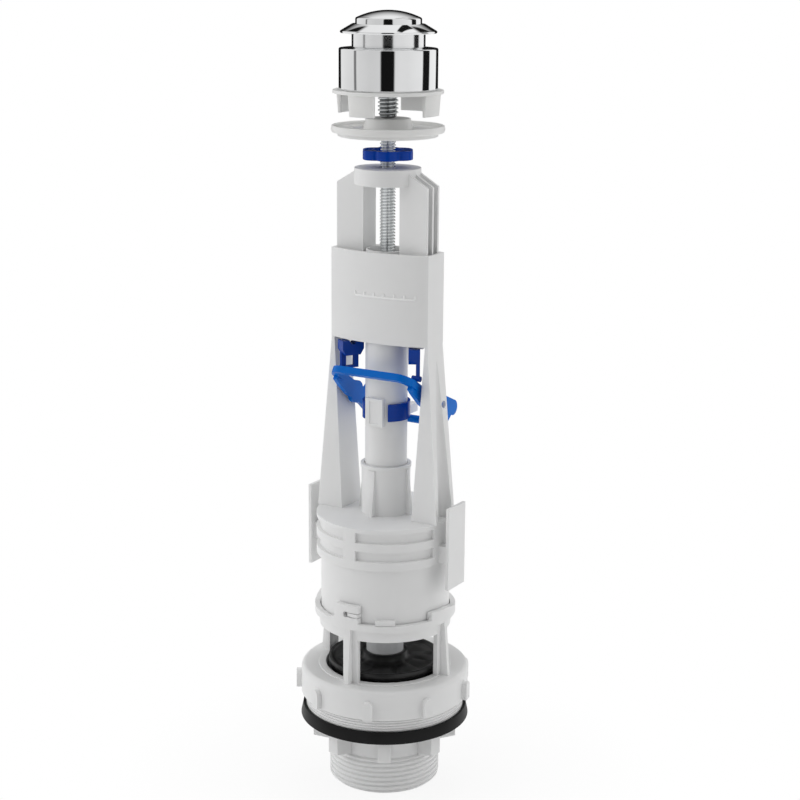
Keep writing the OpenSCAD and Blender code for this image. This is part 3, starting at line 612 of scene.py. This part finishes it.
def bezel_plating():
    """Bright plating on the bezel, and a satin sleeve below it."""
    tree = begin("bezel_chrome")
    height = split(tree, on_piece(tree))[2]
    satin_from, blend = (bezel_seat - 0.15) * MM, 0.2 * MM
    satin = ((satin_from - height) / blend).clamp()
    lines = drawn_lines(tree)
    haze = noise(tree, HAZE)
    tone = ramp(tree, haze, [(0.3, (0.82, 0.825, 0.83)), (0.7, (0.86, 0.865, 0.87))])
    close(tree, Base_Color=tone, Metallic=1.0, Normal=bump(tree, lines, 0.15, 0.001),
          Roughness=0.03 + haze * 0.02 + satin * (0.07 + lines * 0.04))


bezel_plating()
finish_piece(chrome_bezel(), "bezel", "bezel_chrome")
finish_piece(chrome_collar(), "collar_nut", "chrome")
finish_piece(chrome_cap(), "button_cap", "chrome")

# %% [markdown]
# The gasket is a tapered ring of black rubber, and the valve disc is a rubber dish whose top puckers
# into pleats round its hub. The pleats are pushed into the spun mesh: half waves that meet in sharp
# valleys as the angle turns, and fade towards hub and rim.

# %% Rubber
gasket_low = level("cistern_gasket", 0)
seat_flange = gasket_low + 1


def rubber_gasket():
    high, outer = level("cistern_gasket", 1), reach("cistern_gasket")
    inner, cup = 39.4, 42.7
    chamfer_in, chamfer_up, taper = 3.4, 1.5, 1.3
    section = [(inner, gasket_low), (outer - chamfer_in, gasket_low), (outer, gasket_low + chamfer_up),
               (outer - taper, high), (cup, high), (cup, seat_flange), (inner, seat_flange)]
    return spun_piece("cistern_gasket_rubber", section, 0.4)


def rubber_disc():
    low, high, outer = level("valve_disc", 0), level("valve_disc", 1), reach("valve_disc")
    top = low + 2.3
    hub, hole, dish = 12.4, 10.1, outer - 2.4
    half_pleats, pleat_height = 5.5, 1.0 * MM
    first_ring, ring_step, ring_count = hub + 3, 0.6, 19
    rim = [(hole, low), (outer - 0.3, low), (outer, low + 0.3), (outer, top + 1.0),
           (outer - 0.35, top + 1.3), (outer - 1.5, top + 1.3), (outer - 2.0, top + 0.9), (dish, top)]
    rings = [(first_ring + k * ring_step, top) for k in reversed(range(ring_count))]
    mesh = spin("valve_disc_rubber", rim + rings + [(hub, top + 1.5), (hub, high), (hole, high)])
    for vertex in mesh.vertices:
        radius = vertex.co.xy.length / MM
        if abs(vertex.co.z / MM - top) < 0.01 and hub < radius < dish - 0.1:
            angle = math.atan2(vertex.co.y, vertex.co.x)
            fade = math.sin(math.pi * (radius - hub) / (dish - hub))
            wander = 0.06 * radius + 0.4 * math.sin(3 * angle)
            pleat = abs(math.sin(half_pleats * angle + wander))
            vertex.co.z += pleat_height * fade * (pleat - 0.5)
    return new_piece("valve_disc_rubber", mesh)


finish_piece(rubber_gasket(), "cistern_gasket", "black_rubber")
finish_piece(rubber_disc(), "valve_disc", "disc_rubber")

# %% [markdown]
# What repeats or follows a rule is made by Geometry Nodes. Every tree here starts with named inputs
# and ends by making its copies real and setting the finish, so three helpers do that for all of
# them. A modifier's input is reached by its identifier, which the tree gives when it makes the input.

# %% Trees that make shapes
def begin_shape(name, **kinds):
    """A tree with named inputs, the wires of those inputs, and their identifiers."""
    tree = bpy.data.node_groups.new(name, "GeometryNodeTree")
    keys = {}
    for label, kind in {**kinds, "Material": "Material"}.items():
        label = label.replace("_", " ")
        kind = "NodeSocket" + kind
        keys[label] = tree.interface.new_socket(label, in_out="INPUT", socket_type=kind).identifier
    tree.interface.new_socket("Geometry", in_out="OUTPUT", socket_type="NodeSocketGeometry")
    given = tree.nodes.new("NodeGroupInput")
    return tree, {label: Wire(tree, given.outputs[label]) for label in keys}, keys


def end_shape(tree, geometry, material):
    """Makes copies real, sets the finish and closes the tree."""
    whole = add_node(tree, "GeometryNodeRealizeInstances", inputs={"Geometry": geometry})
    inputs = {"Geometry": whole, "Material": material}
    painted = add_node(tree, "GeometryNodeSetMaterial", inputs=inputs)
    add_node(tree, "NodeGroupOutput", inputs={0: painted})


def run_shape(name, tree, keys, material, **amounts):
    """A new piece with the plain mesh that a tree makes from these amounts."""
    piece = new_piece(name, bpy.data.meshes.new(name))
    modifier = piece.modifiers.new("shape", "NODES")
    modifier.node_group = tree
    modifier[keys["Material"]] = materials[material]
    for label, amount in amounts.items():
        modifier[keys[label.replace("_", " ")]] = amount
    return applied(piece)


def joined(piece, *others):
    """Adds the meshes of other pieces to a piece as they are, and removes those pieces."""
    work = bmesh.new()
    for one in (piece, *others):
        work.from_mesh(one.data)
    work.to_mesh(piece.data)
    work.free()
    for one in others:
        bpy.data.objects.remove(one)
    return piece


print("helpers for shape trees are ready")

# %% [markdown]
# A thread is a surface that follows a rule: go round once and the ridge climbs by one pitch. Geometry
# Nodes draw it on a grid that is rolled into a tube. The ridge fades out at both ends, so that the
# tube ends in plain circles and closes onto the spun core of its piece.

# %% Threads
STEPS_PER_PITCH = 14


def thread_tree():
    tree, value, keys = begin_shape(
        "thread", Crest_radius="Float", Depth="Float", Pitch="Float", Length="Float", Foot="Float",
        Runout="Float", Root_share="Float", Crest_share="Float", Around="Int", Along="Int")
    sheet = add_node(tree, "GeometryNodeMeshGrid", inputs={
        "Size X": 1.0, "Size Y": 1.0, "Vertices X": value["Around"] + 1, "Vertices Y": value["Along"] + 1})
    across, along, _ = split(tree, add_node(tree, "GeometryNodeInputPosition"))
    lap = across + 0.5
    height = (along + 0.5) * value["Length"]
    phase = (height / value["Pitch"] - lap).math("FRACT")
    root, crest = value["Root share"] / 2, value["Crest share"] / 2
    ridge = (((phase - 0.5).math("ABSOLUTE") - root) / (0.5 - root - crest)).clamp()
    from_foot, from_head = (part / value["Runout"] for part in (height, value["Length"] - height))
    fade = from_foot.math("MINIMUM", from_head).clamp()
    radius = value["Crest radius"] - value["Depth"] * (1 - ridge * fade)
    angle = lap * (2 * math.pi)
    point = combine(tree, radius * angle.math("COSINE"), radius * angle.math("SINE"),
                    height + value["Foot"])
    rolled = add_node(tree, "GeometryNodeSetPosition", inputs={"Geometry": sheet, "Position": point})
    seam = {"Geometry": rolled, "Distance": 0.001 * MM}
    tube = add_node(tree, "GeometryNodeMergeByDistance", inputs=seam)
    smooth = add_node(tree, "GeometryNodeSetShadeSmooth", inputs={"Geometry": tube})
    end_shape(tree, smooth, value["Material"])
    return tree, keys


THREAD, THREAD_KEYS = thread_tree()


def thread(crest, depth, pitch, foot, run, run_out, shares, material, around=AROUND):
    """The mesh of one thread, in mm. Shares are the root's and the crest's part of a pitch."""
    carrier = run_shape(
        "thread", THREAD, THREAD_KEYS, material, Crest_radius=crest * MM, Depth=depth * MM,
        Pitch=pitch * MM, Length=run * MM, Foot=foot * MM, Runout=run_out * MM, Root_share=shares[0],
        Crest_share=shares[1], Around=around, Along=int(run / pitch * STEPS_PER_PITCH))
    mesh = carrier.data
    bpy.data.objects.remove(carrier)
    return mesh


def welded(name, *meshes):
    """Several meshes as one, joined where their rims meet."""
    work = bmesh.new()
    for mesh in meshes:
        work.from_mesh(mesh)
    bmesh.ops.remove_doubles(work, verts=work.verts, dist=0.004 * MM)
    bmesh.ops.recalc_face_normals(work, faces=work.faces)
    for face in work.faces:
        face.smooth = True
    mesh = bpy.data.meshes.new(name)
    work.to_mesh(mesh)
    work.free()
    return new_piece(name, mesh)


def zinc_with_painted_groove_shade(name, root, crest, tone, groove_shade, rough):
    """Zinc plating whose colour darkens from the crest to the thread's root, as painted shade in its hollow."""
    tree = begin(name)
    inputs = {0: on_piece(tree), 1: (1, 1, 0)}
    flat = add_node(tree, "ShaderNodeVectorMath", {"operation": "MULTIPLY"}, inputs)
    rise = ((length(tree, flat) - root * MM) / ((crest - root) * MM)).clamp()
    lines = drawn_lines(tree)
    # The ramp is painted shade: the colour darkens towards the thread's root, where shade falls.
    close(tree, Base_Color=ramp(tree, rise, [(0.2, groove_shade), (0.85, tone)]), Metallic=1.0,
          Roughness=rough + lines * 0.06, Normal=bump(tree, lines, 0.15, 0.004))


def threaded_bar(node, depth, pitch, tone, groove_shade, rough):
    """A plain bar with a thread along its whole length and a chamfer at each end."""
    low, high, outer = level(node, 0), level(node, 1), reach(node)
    root, chamfer, around, shares = outer - depth, 0.5, 64, (0.2, 0.24)
    foot = spin(node, [(0, low), (root - chamfer, low), (root, low + chamfer)], around, closed=False)
    head = spin(node, [(root, high - chamfer), (root - chamfer, high), (0, high)], around, closed=False)
    finish = node + "_zinc"
    zinc_with_painted_groove_shade(finish, root, outer, tone, groove_shade, rough)
    run = high - low - 2 * chamfer
    body = thread(outer, depth, pitch, low + chamfer, run, pitch, shares, finish, around)
    return finish_piece(welded(node + "_threaded", foot, body, head), node, finish)


# The second colour of each bar is painted shade, darker towards the thread's root.
threaded_bar("push_rod", 0.7, 1.6, tone=(0.90, 0.92, 0.925), groove_shade=(0.66, 0.68, 0.69), rough=0.20)
threaded_bar("button_screw", 1.0, 1.95, tone=(0.82, 0.84, 0.85), groove_shade=(0.26, 0.27, 0.275), rough=0.07)

# %% [markdown]
# The outlet seat is one moulding: a threaded tail, fins that centre it in the cistern floor, and a
# threaded cup round an upright pipe whose lip the seal closes. Its two threads are drawn by the same
# node tree as the rod's, only coarser, and a second tree sets equal blocks in a ring for the fins.

# %% Outlet seat
def block_ring_tree():
    tree, value, keys = begin_shape("block_ring", Count="Int", First="Float", Step="Float",
                                    Size="Vector", Middle="Vector", Drop="Float")
    block = add_node(tree, "GeometryNodeMeshCube", inputs={"Size": value["Size"]})
    outward, _, upward = split(tree, add_node(tree, "GeometryNodeInputPosition"))
    inner, lower = (part.math("LESS_THAN", 0) for part in (outward, upward))
    sunk = combine(tree, 0, 0, inner * lower * value["Drop"] * -1)
    sloped = add_node(tree, "GeometryNodeSetPosition", inputs={"Geometry": block, "Offset": sunk})
    moved = {"Geometry": sloped, "Translation": value["Middle"]}
    placed = add_node(tree, "GeometryNodeTransform", inputs=moved)
    centres = add_node(tree, "GeometryNodePoints", inputs={"Count": value["Count"]})
    angle = add_node(tree, "GeometryNodeInputIndex") * value["Step"] + value["First"]
    ring = add_node(tree, "GeometryNodeInstanceOnPoints", inputs={
        "Points": centres, "Instance": placed, "Rotation": combine(tree, 0, 0, angle)})
    end_shape(tree, ring, value["Material"])
    return tree, keys


BLOCK_RING, BLOCK_KEYS = block_ring_tree()


def block_ring(name, count, first, step, size, middle, edge, material, drop=0.0):
    """Equal blocks set round the Z axis, with soft edges. Angles are in degrees, sizes in mm.

    Drop is how far the inner end of each block's underside lies below its outer end.
    """
    piece = run_shape(
        name, BLOCK_RING, BLOCK_KEYS, material, Count=count, First=math.radians(first),
        Step=math.radians(step), Size=[v * MM for v in size], Middle=[v * MM for v in middle],
        Drop=drop * MM)
    return soften(piece, edge)


def outlet_seat():
    tail, tail_top, cup = 29.8, 21.0, 42.6
    neck, flange, bore, pipe = tail - 0.8, seat_flange, tail - 3.4, tail - 0.6
    rim, lip, floor, cup_in = flange + 26.2, level("outlet_seat", 1), flange + 4, cup - 3
    tail_depth, tail_pitch, cup_depth, cup_pitch, run_out = 1.3, 2.7, 0.8, 1.5, 1.0
    tail_root, cup_root, wide_crest = tail - tail_depth, cup - cup_depth, (0.12, 0.5)
    tail_start, tail_end, cup_start, cup_end = 0.8, tail_top - 0.6, flange + 1.5, rim - 0.8
    seam, soft = 2, 0.4
    below = [(bore, seam), (bore, soft), (bore + soft, 0), (tail_root - tail_start, 0),
             (tail_root, tail_start)]
    middle = [(tail_root, tail_end), (neck - 0.2, tail_end + 0.3), (neck, tail_end + 0.8),
              (neck, flange - soft), (neck + soft, flange), (cup - 0.3, flange), (cup, flange + 0.3),
              (cup, flange + 0.9), (cup_root, cup_start)]
    above = [(cup_root, cup_end), (cup_root - 0.3, rim), (cup_in + 0.2, rim), (cup_in, rim - 0.3),
             (cup_in, floor + soft), (cup_in - soft, floor), (pipe + soft, floor), (pipe, floor + soft),
             (pipe, lip - 1.4), (pipe - soft, lip - 0.5), (pipe - 1.4, lip), (bore + 0.5, lip),
             (bore, lip - 0.5), (bore, seam)]
    foot, belt, head = (spin("seat_part", part, closed=False) for part in (below, middle, above))
    tail_thread = thread(tail, tail_depth, tail_pitch, tail_start, tail_end - tail_start, run_out,
                         wide_crest, "white_plastic")
    cup_thread = thread(cup, cup_depth, cup_pitch, cup_start, cup_end - cup_start, run_out,
                        wide_crest, "white_plastic")
    body = welded("outlet_seat_moulded", foot, tail_thread, belt, cup_thread, head)
    fin_foot, fin_head, fin_in, fin_out = tail_top + 1.4, flange + 0.5, neck - 1.5, tail + 9
    fin_count, fin_first, fin_width, fin_drop = 8, 31, 7, 2.5
    fins = block_ring("outlet_fins", fin_count, fin_first, 360 / fin_count,
                      (fin_out - fin_in, fin_width, fin_head - fin_foot),
                      ((fin_out + fin_in) / 2, 0, (fin_head + fin_foot) / 2),
                      soft, "white_plastic", fin_drop)
    return joined(body, fins)


finish_piece(outlet_seat(), "outlet_seat", "white_plastic")

# %% [markdown]
# On the cage's base a low step runs round the water hole. It is spun like the other rings, sunk a
# little into the base, and becomes part of the cage.

# %% Step round the water hole
def hole_step():
    base = level("valve_disc", 0) - 0.75
    inner, outer, foot, top = 31.9, 35.8, base - 0.6, base + 0.5
    return spun_piece("hole_step", [(inner, foot), (outer, foot), (outer, top), (inner, top)], 0.2)


cage = joined(bpy.data.objects["cage_moulded"], hole_step())
print("cage with its step has", len(cage.data.polygons), "faces")

# %% [markdown]
# A raised line on the housing's front shows how high the water may stand. It follows the bulge of the
# wall, so nodes sweep a small bar along an arc of the same radius, and short ticks stand on the line.
# Half of the bar is sunk in the wall, as a moulded mark is one with what carries it.

# %% Level mark
def level_line_tree():
    tree, value, keys = begin_shape("level_line", Radius="Float", Start="Float", Sweep="Float",
                                    Bar="Float", Thickness="Float")
    arc = add_node(tree, "GeometryNodeCurveArc", {"mode": "RADIUS"}, {
        "Resolution": 48, "Radius": value["Radius"], "Start Angle": value["Start"],
        "Sweep Angle": value["Sweep"]})
    section = add_node(tree, "GeometryNodeCurvePrimitiveQuadrilateral", {"mode": "RECTANGLE"}, {
        "Width": value["Thickness"], "Height": value["Bar"]})
    swept = add_node(tree, "GeometryNodeCurveToMesh", inputs={0: arc, 1: section, "Fill Caps": True})
    end_shape(tree, swept, value["Material"])
    return tree, keys


def level_mark():
    bulge, wall_front = 79.2, 13.5
    height = level("upper_frame", 1) - 22.6
    from_x, to_x, bar, relief, edge = -11.3, 22.8, 1.2, 0.4, 0.35
    tick_count, tick_width, tick_height = 7, 1.0, 2.2
    start, end = (math.degrees(math.asin(x / bulge)) - 90 for x in (from_x, to_x))
    # Its paler finish is a painted highlight on the raised line.
    line = run_shape("level_mark", *level_line_tree(), "polished_mark", Radius=bulge * MM,
                     Start=math.radians(start), Sweep=math.radians(end - start), Bar=bar * MM,
                     Thickness=2 * relief * MM)
    soften(line, edge)
    line.data.transform(Matrix.Translation((0, 0, height * MM)))
    ticks = block_ring("level_ticks", tick_count, start, (end - start) / (tick_count - 1),
                       (2 * relief, tick_width, tick_height), (bulge, 0, height + tick_height / 2),
                       edge, "polished_mark")
    mark = joined(line, ticks)
    mark.data.transform(Matrix.Translation((0, (bulge - wall_front) * MM, 0)))
    return mark


mark = level_mark()
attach(mark, "frame")
print("level mark", [round(v / MM, 1) for v in mark.dimensions], "mm")

# %% [markdown]
# Inside the cap a coil of steel wire pushes the button back up. Nodes wind a spiral and sweep a round
# wire along it. Its foot stands still while the button goes down, but the coil keeps its full length:
# it is not squashed by the button's travel.

# %% Return spring
spring_low, spring_high = (end.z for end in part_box("button_spring"))
travel = next(j for j in frame["joints"] if j["name"] == "button_press")["range_m"][1]


def coil_tree():
    tree, value, keys = begin_shape("coil", Coil_radius="Float", Wire_radius="Float", Height="Float",
                                    Turns="Float")
    spiral = add_node(tree, "GeometryNodeCurveSpiral", inputs={
        "Resolution": 32, "Rotations": value["Turns"], "Start Radius": value["Coil radius"],
        "End Radius": value["Coil radius"], "Height": value["Height"]})
    round_wire = add_node(tree, "GeometryNodeCurvePrimitiveCircle", inputs={
        "Resolution": 12, "Radius": value["Wire radius"]})
    inputs = {0: spiral, 1: round_wire, "Fill Caps": True}
    swept = add_node(tree, "GeometryNodeCurveToMesh", inputs=inputs)
    smooth = add_node(tree, "GeometryNodeSetShadeSmooth", inputs={"Geometry": swept})
    end_shape(tree, smooth, value["Material"])
    return tree, keys


def coil_spring():
    coil, wire, turns = 11.5 * MM, 0.7 * MM, 6.0
    piece = run_shape("button_spring_wound", *coil_tree(), "spring_steel", Coil_radius=coil,
                      Wire_radius=wire, Height=spring_high - spring_low - 2 * wire, Turns=turns)
    piece.data.transform(Matrix.Translation((0, 0, spring_low + wire)))
    return piece


spring = finish_piece(coil_spring(), "button_spring", "spring_steel")
1 - travel / (spring_high - spring_low)
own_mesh(spring)
print("spring of", round((spring_high - spring_low) / MM, 1), "mm, pressed by", round(travel / MM, 1), "mm")
